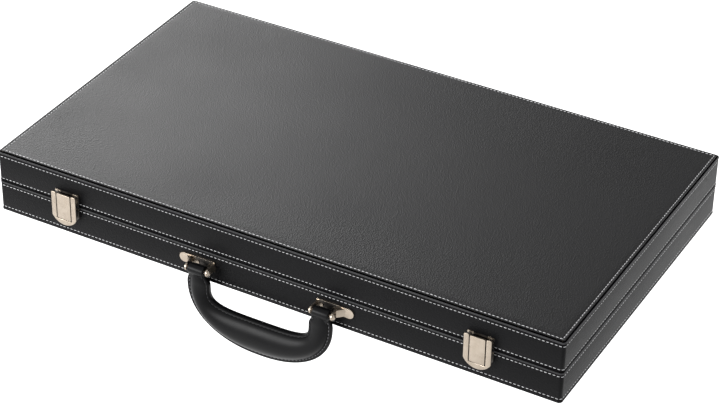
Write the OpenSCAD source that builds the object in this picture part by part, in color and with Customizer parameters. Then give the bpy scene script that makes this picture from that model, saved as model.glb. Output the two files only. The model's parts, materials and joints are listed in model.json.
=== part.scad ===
// Backgammon attache case. Two wooden trays covered in stitched leatherette are hinged along the back and
// open flat into the board. Two snap latches hold the front shut, and a padded handle hangs below it.
// Millimetres. The origin is the middle of the underside, +X runs right along the front, +Y to the back.
// The lid is shut, and the handle hangs straight down from its pins.

/* [Case] */
// Width of the shut case, left to right
case_w = 460; // [440:1:560]
// Depth of the shut case, front to back
case_d = 266; // [250:1:330]
// Height of the shut case
case_h = 52; // [49:0.5:70]
// Gap between the two rims when the case is shut
seam_gap = 0.4; // [0.2:0.1:1]
// Corner radius of the case, seen from above
corner_r = 3; // [3:0.5:8]

/* [Shell] */
// Thickness of the wooden rails
rail_t = 9; // [8:0.5:12]
// Thickness of the top and bottom boards
board_t = 4; // [3:0.5:5]
// Thickness of the leatherette on the sides
cover_t = 1; // [0.6:0.1:1.4]
// Thickness of the leatherette folded over the rims
fold_t = 0.8; // [0.5:0.1:1]
// Radius of the base's welt and of the hems at the rims
welt_r = 1.3; // [1:0.1:1.5]
// How far the welt stands proud of the flat side
welt_proud = 0.3; // [0.1:0.1:0.6]
// Thickness of the padded outer panels
pad_t = 1.6; // [1.2:0.1:2.4]
// Rounding of the padded panels' edges
pad_edge_r = 1.2; // [0.6:0.1:1.2]
// Corner radius of the base's panel
pad_corner_r = 5; // [2:0.5:8]
// How far the base's panel stands proud of its welt
pad_proud = 0.6; // [0.2:0.1:1]
// Width of the groove between the base's panel and its welt
groove_w = 1; // [0.6:0.1:2]
// How far the lid's panel stays in from the outline
lid_pad_in = 0.2; // [0.1:0.1:1]
// Radius of the lid's welt, which runs round the side below the panel
lid_welt_r = 0.8; // [0.6:0.1:1]
// Height of the groove between the lid's panel and its welt
lid_groove = 0.7; // [0.4:0.1:1.2]
// Thickness of the leatherette tucked into that groove
tuck_t = 0.4; // [0.3:0.1:0.6]

/* [Playing board] */
// Thickness of the playing surface
field_t = 1.2; // [0.8:0.1:2]
// Thickness of the sewn-on points
point_t = 0.5; // [0.3:0.1:1]
// Length of a point
point_l = 165; // [130:1:190]
// Width of a point, as a share of its place
point_fill = 0.92; // [0.7:0.01:1]
// Thickness of the strip between field and trough
divider_t = 6; // [4:0.5:10]
// How far the strip stays below the rim
divider_drop = 1.8; // [1:0.1:4]
// Thickness of the felt in the troughs
lining_t = 1.2; // [0.8:0.1:2]
// Room round the linings, fields and strips
board_fit = 0.2; // [0.1:0.05:0.5]

/* [Hinges] */
// Distance of each hinge from the middle
hinge_x = 150; // [80:1:190]
// Length of a hinge
hinge_l = 50; // [40:1:70]
// Thickness of a hinge leaf
leaf_t = 1; // [0.9:0.1:1.4]
// How far a leaf reaches in over the rim
leaf_w = 8.5; // [8:0.5:9]
// Outside radius of the knuckles
knuckle_r = 2.2; // [2:0.1:3]
// Knuckles in one hinge
knuckles = 5; // [3:2:7]
// Gap between neighbouring knuckles, and round the barrel
knuckle_gap = 0.25; // [0.15:0.05:0.5]
// Radius of the hinge pin
hinge_pin_r = 1.1; // [0.8:0.1:1.4]
// Radius of a hinge screw's shank
screw_r = 1; // [0.8:0.1:1.3]
// Radius of a hinge screw's head
screw_head_r = 2; // [1.8:0.1:2.4]
// Length of a hinge screw
screw_l = 7; // [5:0.5:10]

/* [Latches] */
// Distance of each latch from the middle
latch_x = 168.6; // [120:0.1:200]
// Width of the latch cover
latch_w = 21; // [18:0.5:26]
// Height of the latch above the seam
latch_rise = 10.9; // [9:0.1:14]
// Depth of the latch below the seam
latch_drop = 15.8; // [14.5:0.1:19]
// Radius of the rounded lower edge
latch_arc_r = 11.6; // [11:0.1:16]
// How far the latch stands out from the side
latch_proud = 5.4; // [5:0.1:8]
// Thickness of the cover and of the tongue
latch_t = 1.2; // [0.8:0.1:1.4]
// Thickness of the back plates
plate_t = 0.8; // [0.6:0.1:1]
// Width of the rocking tongue
tongue_w = 11.6; // [9.5:0.1:13]
// Gap down each side of the tongue
slot_w = 0.7; // [0.4:0.1:1]
// Gap below the tongue
tongue_gap = 0.5; // [0.5:0.1:1]
// Height of the tongue's lower end above the latch's own
tongue_up = 4.8; // [2:0.1:6]
// Depth of the tongue's upper end below the tops of the stiles
tongue_down = 0.5; // [0:0.1:1]
// Pivot's distance below the seam
pivot_drop = 3.5; // [3:0.1:5]
// Pivot's distance from the side
pivot_out = 2.5; // [2.3:0.1:2.8]
// Radius of the pivot pin
pivot_r = 0.6; // [0.5:0.05:0.8]
// How far the tongue rocks when pressed
tongue_travel = 14; // [8:1:15]
// Depth of the hook below the tongue's upper end
hook_drop = 2; // [0:0.1:3]
// Thickness of the tongue's hook
hook_t = 1.2; // [0.8:0.1:1.6]
// How far the hook and the lid's nose overlap
hook_grip = 1.7; // [1:0.1:2]
// Gap between hook and nose
hook_gap = 0.3; // [0.2:0.1:0.6]
// Turns of the tongue's spring
spring_turns = 5; // [3:1:6]
// Radius of the spring wire
wire_r = 0.2; // [0.15:0.01:0.25]
// Gap between the spring's turns
wire_gap = 0.45; // [0.42:0.01:0.6]

/* [Handle] */
// Distance between the middles of the handle's two loops
handle_pitch = 102; // [90:1:130]
// Height of the handle's pins above the underside
handle_pin_z = 15.5; // [12:0.1:18]
// Distance of the pins from the side
handle_pin_out = 9.4; // [7.6:0.1:12]
// Radius of the pins
handle_pin_r = 1.5; // [1.2:0.1:2]
// Width of a loop
loop_w = 12.8; // [10:0.2:18]
// Outside radius of a loop
loop_r = 4.2; // [3.6:0.1:4.6]
// Length of a loop's neck below the pin
neck_l = 5; // [4.8:0.1:7]
// Depth of the grip's lower edge below the pins
grip_drop = 56; // [48:0.1:70]
// Height of the hand hole below the arms' shoulders
hand_hole = 21.1; // [15:0.1:30]
// Depth of the arms' shoulders below the pins
arm_drop = 9.5; // [7:0.1:12]
// Width of an arm
arm_w = 16.8; // [13:0.2:20]
// Thickness of the grip at its middle
grip_t = 16; // [12:0.5:18]
// Thickness of the arms at the loops
arm_t = 8; // [6:0.5:8.4]
// How much the arms swell on the inner side
arm_swell = 1.4; // [0:0.1:3]
// Radius of the handle's core
core_r = 2.5; // [1.5:0.1:3]

/* [Handle brackets] */
// Thickness of a bracket
bracket_t = 1.3; // [0.8:0.1:1.6]
// Height of a bracket's back plate
bracket_h = 8.2; // [7.8:0.1:12]
// Radius of the round foot on the outer side
foot_r = 3.9; // [3:0.1:5]
// Reach of the foot beyond the outer ear
foot_l = 11.1; // [9.5:0.1:14]
// Radius of the ears' round ends
ear_r = 3; // [2.8:0.1:3.8]
// Gap between an ear and the loop
ear_gap = 1.5; // [0.3:0.1:3]
// Width of the slanted bend between foot and ear
ear_slant = 4.6; // [2:0.1:6]
// Radius of the pins' round heads
pin_head_r = 2.5; // [2.2:0.1:3]
// Height of those heads
pin_head_h = 1.6; // [1:0.1:2]

/* [Rivets] */
// Radius of a rivet's shank
rivet_r = 0.9; // [0.7:0.05:1.1]
// Radius of a rivet's head
rivet_head_r = 1.6; // [1.4:0.1:2]
// Height of a rivet's head
rivet_head_h = 0.6; // [0.4:0.1:0.7]
// Depth of a rivet in the rail
rivet_l = 5; // [3:0.5:7]

/* [Playing pieces] */
// Diameter of a checker
checker_d = 33; // [28:0.5:36]
// Depth of the dish in a checker's faces
dish_t = 0.8; // [0.4:0.1:1.4]
// Width of the rim round the dish
dish_rim = 4; // [2:0.5:8]
// Gap between stored checkers
checker_gap = 0.1; // [0.05:0.05:0.3]
// Spare width of the trough
trough_room = 3; // [2:0.5:6]
// Spare length of the trough when all pieces are put away
trough_spare = 17.4; // [8:0.1:30]
// Edge of a die
die = 12; // [9:0.5:14]
// Edge of the doubling cube
cube_edge = 18; // [14:0.5:22]
// Length of a dice cup
cup_l = 62; // [50:1:66]
// Wall of a dice cup
cup_wall = 2; // [1.5:0.1:3]
// How far a dice cup's rim stands out
cup_lip = 0.8; // [0.4:0.1:1.4]
// Gap between the groups of pieces in the trough
group_gap = 2; // [1:0.1:2.5]

/* [Hidden] */
$fn = 48;
// Clearance of a shank in its hole, and of a pin that turns
fit = 0.05;
// Overlap that makes one solid of two joined shapes
bond = 0.2;
// Overshoot of a cut
over = 1;
CHECKERS = 15;
POINTS = 6;
WIRE_SIDES = 6;
COIL_STEP = 45;
// Powers of the handle's curves: hand hole, outer edge, swelling of the arms, section
HOLE_POWER = 4;
EDGE_POWER = 2.2;
SWELL_POWER = 0.8;
OVAL_POWER = 0.85;
GRIP_STEPS = 32;
GRIP_SIDES = 20;
// Radius of the sphere that turns off a cube's corners, for an edge of one
CORNER_CUT = 0.72;

half_h = case_h / 2;
rim_z = half_h - seam_gap / 2;
skin = welt_proud + cover_t;
frame_w = case_w - 2 * skin;
frame_d = case_d - 2 * skin;
frame_r = corner_r - skin;
inner_w = frame_w - 2 * rail_t;
inner_d = frame_d - 2 * rail_t;
floor_z = pad_t + board_t;
rail_top = rim_z - fold_t;
front_y = -(case_d / 2 - welt_proud);
pad_inset = 2 * welt_r + groove_w;
lid_welt_z = pad_t + lid_groove;

trough_w = checker_d + trough_room;
trough_y = -inner_d / 2;
divider_y = trough_y + trough_w;
field_y = divider_y + divider_t;
field_d = inner_d / 2 - field_y;
point_pitch = field_d / POINTS;
divider_top = rim_z - divider_drop;
trough_mid = trough_y + trough_w / 2;
trough_floor = floor_z + lining_t;

hinge_y = case_d / 2 + knuckle_r + knuckle_gap;
knuckle_l = (hinge_l - (knuckles - 1) * knuckle_gap) / knuckles;
leaf_back = case_d / 2 - knuckle_gap;
screw_y = case_d / 2 - leaf_w / 2 - knuckle_gap;
screw_step = hinge_l / 3;

latch_top = half_h + latch_rise;
latch_bottom = half_h - latch_drop;
latch_back = latch_proud - latch_t;
window_w = tongue_w + 2 * slot_w;
stile_w = (latch_w - window_w) / 2;
tongue_z = latch_bottom + tongue_up;
tongue_top = latch_top - tongue_down;
hook_z = tongue_top - hook_drop - hook_t;
pivot_z = half_h - pivot_drop;
// Step by which each hidden piece of the latch stays inside the one in front of it
step = 1;
plate_w = latch_w - step;
plate_top = half_h - step;
strike_bottom = half_h + step;
cheek_x = window_w / 2 + step / 2;
cheek_z = tongue_z + 2 * step;
lug_x = tongue_w / 2 - step - plate_t;
lug_r = pivot_r + step;
hook_w = tongue_w - 2 * step;
notch_w = hook_w + step;
nose_w = hook_w - step;
nose_top = hook_z - hook_gap;
nose_out = latch_back - step;
nose_face = 1.8;
hook_tip = nose_out - hook_grip;
tongue_corner_r = 0.8;
stile_r = 1;
pin_end = 0.4;
coil_clear = 0.2;
coil_r = pivot_r + coil_clear + wire_r;
coil_pitch = 2 * wire_r + wire_gap;
spring_leg = 4;
latch_rivet_x = 3.2;
latch_rivet_up = 2.4;
latch_rivet_z = tongue_z + latch_rivet_up;
strike_rivet_x = plate_w / 2 - 2 * step;
strike_rivet_z = half_h + latch_rise / 2;

ear_x = loop_w / 2 + ear_gap;
handle_y = front_y - handle_pin_out;
bracket_rivet_x = 5.2;

// Two rows of checkers fill what the cups, the dice and the cube leave of the trough
contents_l = inner_w - trough_spare;
checker_run = (contents_l - 2 * cup_l - die - cube_edge - 5 * group_gap) / 2;
checker_t = checker_run / CHECKERS - checker_gap;
cup_r = checker_d / 2;
cup_band = 4;
light_x = -contents_l / 2;
cup_left_x = light_x + checker_run + group_gap;
dice_x = cup_left_x + cup_l + group_gap;
cube_x = dice_x + die + group_gap;
cup_right_x = cube_x + cube_edge + group_gap;
dark_x = cup_right_x + cup_l + group_gap;

// Plain helpers: outlines, placing and extruding

module rounded_rect(w, d, r) {
    square([w - 2 * r, d], center = true);
    square([w, d - 2 * r], center = true);
    for (x = [-1, 1], y = [-1, 1])
        translate([x * (w / 2 - r), y * (d / 2 - r)]) circle(r);
}

// Runs a profile round a rounded rectangle. The profile's x is measured outwards from the corner's centre.
module rim_sweep(w, d, r) {
    for (turn = [0, 180]) rotate(turn) {
        translate([-(w / 2 - r), d / 2 - r, 0]) rotate([90, 0, 90]) linear_extrude(w - 2 * r) children();
        translate([w / 2 - r, d / 2 - r, 0]) rotate([90, 0, 0]) linear_extrude(d - 2 * r) children();
        translate([w / 2 - r, d / 2 - r, 0]) rotate_extrude(angle = 90) children();
        translate([-(w / 2 - r), d / 2 - r, 0]) rotate(90) rotate_extrude(angle = 90) children();
    }
}

// Turns a base piece over into its place in the lid
module as_lid() {
    translate([0, 0, case_h]) mirror([0, 0, 1]) children();
}

// Places a piece on the front side: y is then the distance out from the side
module on_front(x) {
    translate([x, front_y, 0]) mirror([0, 1, 0]) children();
}

// Extrudes an outline in x and z to a sheet that starts y0 out from the side
module sheet(y0, t) {
    translate([0, y0 + t, 0]) rotate([90, 0, 0]) linear_extrude(t) children();
}

// Extrudes an outline in y and z along x
module across(x0, l) {
    translate([x0, 0, 0]) rotate([90, 0, 90]) linear_extrude(l) children();
}

// A cylinder along y that starts y0 out from the side
module peg(x, z, y0, l, r) {
    translate([x, y0, z]) rotate([-90, 0, 0]) cylinder(h = l, r = r);
}

// A cylinder along x
module rod(x0, y, z, l, r) {
    translate([x0, y, z]) rotate([0, 90, 0]) cylinder(h = l, r = r);
}

// Rivets: a low head on the metal, a shank down into the rail

module rivet(x, z, seat) {
    peg(x, z, -cover_t - rivet_l, seat + cover_t + rivet_l + bond, rivet_r);
    peg(x, z, seat, rivet_head_h, rivet_head_r);
}

module rivet_hole(x, z, seat) {
    peg(x, z, -cover_t - rivet_l, seat + cover_t + rivet_l + over, rivet_r + fit);
}

module latch_rivet_holes() {
    for (s = [-1, 1], x = [-1, 1]) on_front(s * latch_x)
        rivet_hole(x * latch_rivet_x, latch_rivet_z, plate_t);
}

module strike_rivet_holes() {
    for (s = [-1, 1], x = [-1, 1]) on_front(s * latch_x)
        rivet_hole(x * strike_rivet_x, strike_rivet_z, plate_t);
}

module bracket_rivet_holes() {
    for (s = [-1, 1], x = [-1, 1]) on_front(s * handle_pitch / 2)
        rivet_hole(x * bracket_rivet_x, handle_pin_z, bracket_t);
}

// The hem is pressed flat behind the latch plates
module plate_beds() {
    for (s = [-1, 1]) on_front(s * latch_x) sheet(0, over)
        translate([-plate_w / 2 - fit, latch_bottom]) square([plate_w + 2 * fit, latch_top - latch_bottom]);
}

// Hinge cuts: the bed of a leaf in the rim, and the screws' pilot holes

module leaf_beds() {
    for (s = [-1, 1])
        translate([s * hinge_x - hinge_l / 2 - fit, case_d / 2 - leaf_w - fit, rim_z - leaf_t])
            cube([hinge_l + 2 * fit, leaf_w + over, leaf_t + over]);
}

module at_screws(s) {
    for (i = [-1, 0, 1]) translate([s * hinge_x + i * screw_step, screw_y, rim_z]) children();
}

module screw_shape(clear) {
    translate([0, 0, -screw_l]) cylinder(h = screw_l, r = screw_r + clear);
    translate([0, 0, -leaf_t]) cylinder(h = leaf_t, r1 = screw_r + clear, r2 = screw_head_r + clear);
}

module screw_holes() {
    for (s = [-1, 1]) at_screws(s) screw_shape(fit);
}

// The shell of one half, drawn as the base

// A panel that stays in from the outline, with a round edge outside
module half_pad(inset, r) {
    w = case_w - 2 * inset;
    d = case_d - 2 * inset;
    linear_extrude(pad_t) square([w - 2 * r, d - 2 * r], center = true);
    rim_sweep(w, d, r) intersection() {
        square([r, pad_t]);
        union() {
            square([r - pad_edge_r, pad_t]);
            translate([0, pad_edge_r]) square([r, pad_t]);
            translate([r - pad_edge_r, pad_edge_r]) circle(pad_edge_r);
        }
    }
}

module half_board() {
    translate([0, 0, pad_t]) linear_extrude(board_t) rounded_rect(frame_w, frame_d, frame_r);
}

// One mitred rail: the front one, or the right one turned by a quarter
module half_rail(l, d, turn) {
    translate([0, 0, floor_z]) linear_extrude(rail_top - floor_z) intersection() {
        rounded_rect(frame_w, frame_d, frame_r);
        rotate(turn) polygon([
            [-l / 2, -d / 2],
            [l / 2, -d / 2],
            [l / 2 - rail_t, -d / 2 + rail_t],
            [-l / 2 + rail_t, -d / 2 + rail_t]
        ]);
    }
}

module half_rail_back() {
    difference() {
        half_rail(frame_w, frame_d, 180);
        leaf_beds();
        screw_holes();
    }
}

// Section of a side cover: a round welt that starts at z, a flat wall, and a round hem at the rim
module cover_profile(z, r) {
    difference() {
        union() {
            translate([corner_r - skin, pad_t]) square([tuck_t, z + r - pad_t]);
            translate([corner_r - r, z + r]) circle(r);
            translate([corner_r - skin, z + r]) square([cover_t, rim_z - welt_r - z - r]);
            translate([corner_r - welt_r, rim_z - welt_r]) circle(welt_r);
        }
        translate([0, pad_t]) square([corner_r - skin, rail_top - pad_t]);
    }
}

module half_side_cover(welt_z, r) {
    difference() {
        union() {
            rim_sweep(case_w, case_d, corner_r) cover_profile(welt_z, r);
            translate([0, 0, rail_top]) linear_extrude(fold_t) difference() {
                rounded_rect(case_w - 2 * welt_r, case_d - 2 * welt_r, corner_r - welt_r);
                square([inner_w, inner_d], center = true);
            }
        }
        leaf_beds();
    }
}

module half_field() {
    translate([-inner_w / 2 + board_fit, field_y + board_fit, floor_z])
        cube([inner_w - 2 * board_fit, field_d - 2 * board_fit, field_t]);
}

module half_trough_lining() {
    translate([-inner_w / 2 + board_fit, trough_y + board_fit, floor_z])
        cube([inner_w - 2 * board_fit, trough_w - 2 * board_fit, lining_t]);
}

module half_divider() {
    translate([-inner_w / 2 + board_fit, divider_y, floor_z])
        cube([inner_w - 2 * board_fit, divider_t, divider_top - floor_z]);
}

// Every other point at the left end, and those between them at the right end
module half_points(first) {
    root_x = inner_w / 2 - board_fit;
    half_w = point_pitch * point_fill / 2;
    for (i = [0 : POINTS - 1]) {
        end = (i + first) % 2 == 0 ? -1 : 1;
        translate([0, field_y + (i + 0.5) * point_pitch, floor_z + field_t]) linear_extrude(point_t)
            polygon([[end * root_x, -half_w], [end * root_x, half_w], [end * (root_x - point_l), 0]]);
    }
}

// The base

module base_pad() {
    color("dimgray") half_pad(pad_inset, pad_corner_r);
}

module base_board() {
    color("burlywood") half_board();
}

module base_rail_front() {
    color("burlywood") difference() {
        half_rail(frame_w, frame_d, 0);
        latch_rivet_holes();
        bracket_rivet_holes();
    }
}

module base_rail_back() {
    color("burlywood") half_rail_back();
}

module base_rail_left() {
    color("burlywood") half_rail(frame_d, frame_w, 270);
}

module base_rail_right() {
    color("burlywood") half_rail(frame_d, frame_w, 90);
}

module base_side_cover() {
    color("dimgray") difference() {
        half_side_cover(pad_proud, welt_r);
        plate_beds();
        latch_rivet_holes();
        bracket_rivet_holes();
    }
}

module base_field() {
    color("darkgreen") half_field();
}

module base_points_light() {
    color("wheat") half_points(0);
}

module base_points_dark() {
    color("firebrick") half_points(1);
}

module base_trough_lining() {
    color("darkgreen") half_trough_lining();
}

module base_divider() {
    color("black") half_divider();
}

// The lid

module lid_pad() {
    color("dimgray") as_lid() half_pad(lid_pad_in, corner_r - lid_pad_in);
}

module lid_board() {
    color("burlywood") as_lid() half_board();
}

module lid_rail_front() {
    color("burlywood") difference() {
        as_lid() half_rail(frame_w, frame_d, 0);
        strike_rivet_holes();
    }
}

module lid_rail_back() {
    color("burlywood") as_lid() half_rail_back();
}

module lid_rail_left() {
    color("burlywood") as_lid() half_rail(frame_d, frame_w, 270);
}

module lid_rail_right() {
    color("burlywood") as_lid() half_rail(frame_d, frame_w, 90);
}

module lid_side_cover() {
    color("dimgray") difference() {
        as_lid() half_side_cover(lid_welt_z, lid_welt_r);
        plate_beds();
        strike_rivet_holes();
    }
}

module lid_field() {
    color("darkgreen") as_lid() half_field();
}

module lid_points_light() {
    color("wheat") as_lid() half_points(1);
}

module lid_points_dark() {
    color("firebrick") as_lid() half_points(0);
}

module lid_trough_lining() {
    color("darkgreen") as_lid() half_trough_lining();
}

module lid_divider() {
    color("black") as_lid() half_divider();
}

// Hinges: the base's leaf takes the even knuckles and the lid's the odd ones

module hinge_leaf(s, first) {
    color("silver") translate([s * hinge_x - hinge_l / 2, 0, 0]) difference() {
        union() {
            translate([0, case_d / 2 - leaf_w, rim_z - leaf_t])
                cube([hinge_l, leaf_w - knuckle_gap, leaf_t]);
            for (i = [first : 2 : knuckles - 1]) {
                x = i * (knuckle_l + knuckle_gap);
                translate([x, leaf_back - bond, rim_z - leaf_t])
                    cube([knuckle_l, hinge_y - leaf_back, leaf_t]);
                rod(x, hinge_y, half_h, knuckle_l, knuckle_r);
            }
        }
        rod(-over, hinge_y, half_h, hinge_l + 2 * over, hinge_pin_r + fit);
        translate([-(s * hinge_x - hinge_l / 2), 0, 0]) at_screws(s) screw_shape(fit);
    }
}

module hinge_base_leaf(s) {
    hinge_leaf(s, 0);
}

module hinge_lid_leaf(s) {
    as_lid() hinge_leaf(s, 1);
}

module hinge_pins() {
    color("silver") for (s = [-1, 1])
        rod(s * hinge_x - hinge_l / 2, hinge_y, half_h, hinge_l, hinge_pin_r);
}

module hinge_base_screws() {
    color("silver") for (s = [-1, 1]) at_screws(s) screw_shape(0);
}

module hinge_lid_screws() {
    as_lid() hinge_base_screws();
}

// Latches: a back plate with two cheeks, a shield-shaped cover, and a tongue that rocks between them

module shield(w, bottom, top) {
    intersection() {
        translate([-w / 2, bottom]) square([w, top - bottom]);
        union() {
            translate([0, bottom + latch_arc_r]) circle(latch_arc_r);
            translate([-w / 2, bottom + latch_arc_r]) square([w, top - bottom]);
        }
    }
}

module latch_plate(s) {
    color("silver") on_front(s * latch_x) difference() {
        union() {
            sheet(0, plate_t) shield(plate_w, latch_bottom + step, plate_top);
            for (x = [-cheek_x - plate_t, cheek_x]) across(x, plate_t)
                translate([plate_t - bond, cheek_z])
                    square([latch_back - plate_t + bond, plate_top - cheek_z]);
        }
        rod(-latch_w, pivot_out, pivot_z, 2 * latch_w, pivot_r + fit);
        for (x = [-1, 1]) rivet_hole(x * latch_rivet_x, latch_rivet_z, plate_t);
    }
}

module latch_cover(s) {
    stile_x = (latch_w - stile_w) / 2;
    color("silver") on_front(s * latch_x) sheet(latch_back, latch_t) {
        difference() {
            shield(latch_w, latch_bottom, latch_top - stile_r);
            translate([-window_w / 2, tongue_z - tongue_gap]) square([window_w, case_h]);
        }
        for (x = [-stile_x, stile_x]) translate([x, latch_top - stile_w / 2])
            rounded_rect(stile_w, stile_w, stile_r);
    }
}

module latch_tongue(s) {
    tongue_h = tongue_top - tongue_z;
    color("silver") on_front(s * latch_x) difference() {
        union() {
            sheet(latch_back, latch_t) translate([0, tongue_z + tongue_h / 2])
                rounded_rect(tongue_w, tongue_h, tongue_corner_r);
            for (x = [-lug_x - plate_t, lug_x]) across(x, plate_t) {
                translate([pivot_out, pivot_z]) circle(lug_r);
                translate([pivot_out, pivot_z - lug_r]) square([latch_back - pivot_out + bond, 2 * lug_r]);
            }
            across(-hook_w / 2, hook_w)
                translate([hook_tip, hook_z]) square([latch_back - hook_tip + bond, hook_t]);
        }
        rod(-latch_w, pivot_out, pivot_z, 2 * latch_w, pivot_r + fit);
    }
}

module latch_pins() {
    reach = cheek_x + plate_t + pin_end;
    color("silver") for (s = [-1, 1]) on_front(s * latch_x)
        rod(-reach, pivot_out, pivot_z, 2 * reach, pivot_r);
}

// The tongue's torsion spring: one wire, up from the back plate, round the pin and down behind the tongue
function spring_path() =
    let (sweep = 180 + 360 * spring_turns + tongue_travel, end = 180 - sweep)
    let (steps = ceil(sweep / COIL_STEP))
    let (start_x = -coil_pitch * sweep / 720)
    let (coil = [for (i = [0 : steps])
        let (a = 180 - sweep * i / steps)
        [start_x + coil_pitch * sweep / 360 * i / steps, coil_r * cos(a), coil_r * sin(a)]])
    concat(
        [[start_x, -coil_r, -spring_leg]],
        coil,
        [[-start_x, coil_r * cos(end) + spring_leg * sin(end), coil_r * sin(end) - spring_leg * cos(end)]]
    );

function unit(v) = v / norm(v);

// Rings of a round wire along a path that winds about x
function wire_rings(path, r, sides) = [
    for (i = [0 : len(path) - 1])
        let (ahead = path[min(i + 1, len(path) - 1)], behind = path[max(i - 1, 0)])
        let (n1 = unit(cross(ahead - behind, [1, 0, 0])), n2 = unit(cross(n1, ahead - behind)))
        for (j = [0 : sides - 1]) path[i] + r * (cos(360 * j / sides) * n1 + sin(360 * j / sides) * n2)
];

// Triangles between neighbouring rings, and across the end rings
function skin_faces(rings, sides, first = 0) = [
    for (i = [0 : rings - 2], j = [0 : sides - 1])
        let (a = first + i * sides + j, b = first + i * sides + (j + 1) % sides)
        each [[a, b, a + sides], [b, b + sides, a + sides]]
];

function cap_faces(rings, sides) = [
    for (j = [1 : sides - 2]) each [
        [0, j + 1, j],
        [(rings - 1) * sides, (rings - 1) * sides + j, (rings - 1) * sides + j + 1]
    ]
];

module latch_springs() {
    path = spring_path();
    rings = len(path);
    faces = concat(skin_faces(rings, WIRE_SIDES), cap_faces(rings, WIRE_SIDES));
    echo(least_gap_between_spring_turns = coil_pitch - 2 * wire_r);
    color("gray") for (s = [-1, 1]) on_front(s * latch_x) translate([0, pivot_out, pivot_z])
        polyhedron(wire_rings(path, wire_r, WIRE_SIDES), faces);
}

module latch_strike(s) {
    color("silver") on_front(s * latch_x) difference() {
        union() {
            sheet(0, plate_t) difference() {
                translate([-plate_w / 2, strike_bottom])
                    square([plate_w, tongue_top - strike_bottom]);
                translate([-notch_w / 2, nose_top]) square([notch_w, latch_rise]);
            }
            across(-nose_w / 2, nose_w) polygon([
                [plate_t - bond, strike_bottom + bond],
                [plate_t, strike_bottom + bond],
                [nose_out, nose_top - nose_face],
                [nose_out, nose_top],
                [plate_t - bond, nose_top]
            ]);
        }
        for (x = [-1, 1]) rivet_hole(x * strike_rivet_x, strike_rivet_z, plate_t);
    }
}

module latch_plate_rivets() {
    color("silver") for (s = [-1, 1], x = [-1, 1]) on_front(s * latch_x)
        rivet(x * latch_rivet_x, latch_rivet_z, plate_t);
}

module latch_strike_rivets() {
    color("silver") for (s = [-1, 1], x = [-1, 1]) on_front(s * latch_x)
        rivet(x * strike_rivet_x, strike_rivet_z, plate_t);
}

// Handle brackets: a back plate with a round foot on the outer side, and two ears for the pin

module ear_outline() {
    translate([handle_pin_out, handle_pin_z]) circle(ear_r);
    translate([0, handle_pin_z - ear_r]) square([handle_pin_out, 2 * ear_r]);
}

// The outer ear leans out from the foot before it stands square to the side
module outer_ear() {
    outer = ear_x + bracket_t;
    intersection() {
        across(0, case_w) ear_outline();
        translate([0, 0, handle_pin_z - ear_r]) linear_extrude(2 * ear_r) polygon([
            [ear_x, handle_pin_out + ear_r],
            [outer, handle_pin_out + ear_r],
            [outer, bracket_t + ear_slant],
            [outer + ear_slant, bracket_t],
            [outer + ear_slant, 0],
            [outer + ear_slant - bracket_t, 0],
            [ear_x, ear_slant]
        ]);
    }
}

module handle_bracket(s) {
    foot_x = ear_x + bracket_t + foot_l - foot_r;
    color("silver") on_front(s * handle_pitch / 2) mirror([s < 0 ? 1 : 0, 0, 0]) difference() {
        union() {
            sheet(0, bracket_t) {
                translate([foot_x, handle_pin_z]) circle(foot_r);
                translate([0, handle_pin_z - foot_r]) square([foot_x, 2 * foot_r]);
                translate([-ear_x - bracket_t, handle_pin_z - bracket_h / 2])
                    square([2 * (ear_x + bracket_t), bracket_h]);
            }
            across(-ear_x - bracket_t, bracket_t) ear_outline();
            outer_ear();
        }
        rod(-case_w / 2, handle_pin_out, handle_pin_z, case_w, handle_pin_r + fit);
        for (x = [-1, 1]) rivet_hole(x * bracket_rivet_x, handle_pin_z, bracket_t);
    }
}

module handle_bracket_rivets() {
    color("silver") for (s = [-1, 1], x = [-1, 1]) on_front(s * handle_pitch / 2)
        rivet(x * bracket_rivet_x, handle_pin_z, bracket_t);
}

// A pin with a low round head outside each ear
module handle_pin() {
    reach = ear_x + bracket_t;
    rod(-reach - bond, 0, 0, 2 * (reach + bond), handle_pin_r);
    for (turn = [0, 180]) rotate(turn) translate([reach, 0, 0]) rotate([0, 90, 0])
        rotate_extrude() intersection() {
            square([pin_head_r, pin_head_h]);
            translate([0, pin_head_h - pin_head_r]) circle(pin_head_r);
        }
}

module handle_pins() {
    color("silver") for (s = [-1, 1]) on_front(s * handle_pitch / 2)
        translate([0, handle_pin_out, handle_pin_z]) handle_pin();
}

// Handle: a loop rolled round each pin, and a padded grip that swells from two arms round a moulded core

module handle_loop(s) {
    color("black") translate([s * handle_pitch / 2 - loop_w / 2, handle_y, handle_pin_z]) difference() {
        union() {
            rod(0, 0, 0, loop_w, loop_r);
            translate([0, -arm_t / 2, -neck_l]) cube([loop_w, arm_t, neck_l]);
        }
        rod(-over, 0, 0, loop_w + 2 * over, handle_pin_r + fit);
    }
}

// A point on a superellipse that hangs from the arms' shoulders
function hang(t, reach, depth, power) =
    [-reach * sign(cos(t)) * pow(abs(cos(t)), 2 / power), -arm_drop - depth * pow(sin(t), 2 / power)];

// One station of the handle: inner edge, outer edge, half thickness
function grip_station(t) = [
    hang(t, (handle_pitch - arm_w) / 2 - arm_swell, hand_hole, HOLE_POWER),
    hang(t, (handle_pitch + arm_w) / 2, grip_drop - arm_drop, EDGE_POWER),
    (arm_t + (grip_t - arm_t) * pow(sin(t), SWELL_POWER)) / 2
];

// An arm is as wide as its loop where the two meet
function arm_station(s) = [
    [s * (handle_pitch - loop_w) / 2, -neck_l],
    [s * (handle_pitch + loop_w) / 2, -neck_l],
    arm_t / 2
];

stations = concat(
    [arm_station(-1)],
    [for (i = [0 : GRIP_STEPS]) grip_station(180 * i / GRIP_STEPS)],
    [arm_station(1)]
);

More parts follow.
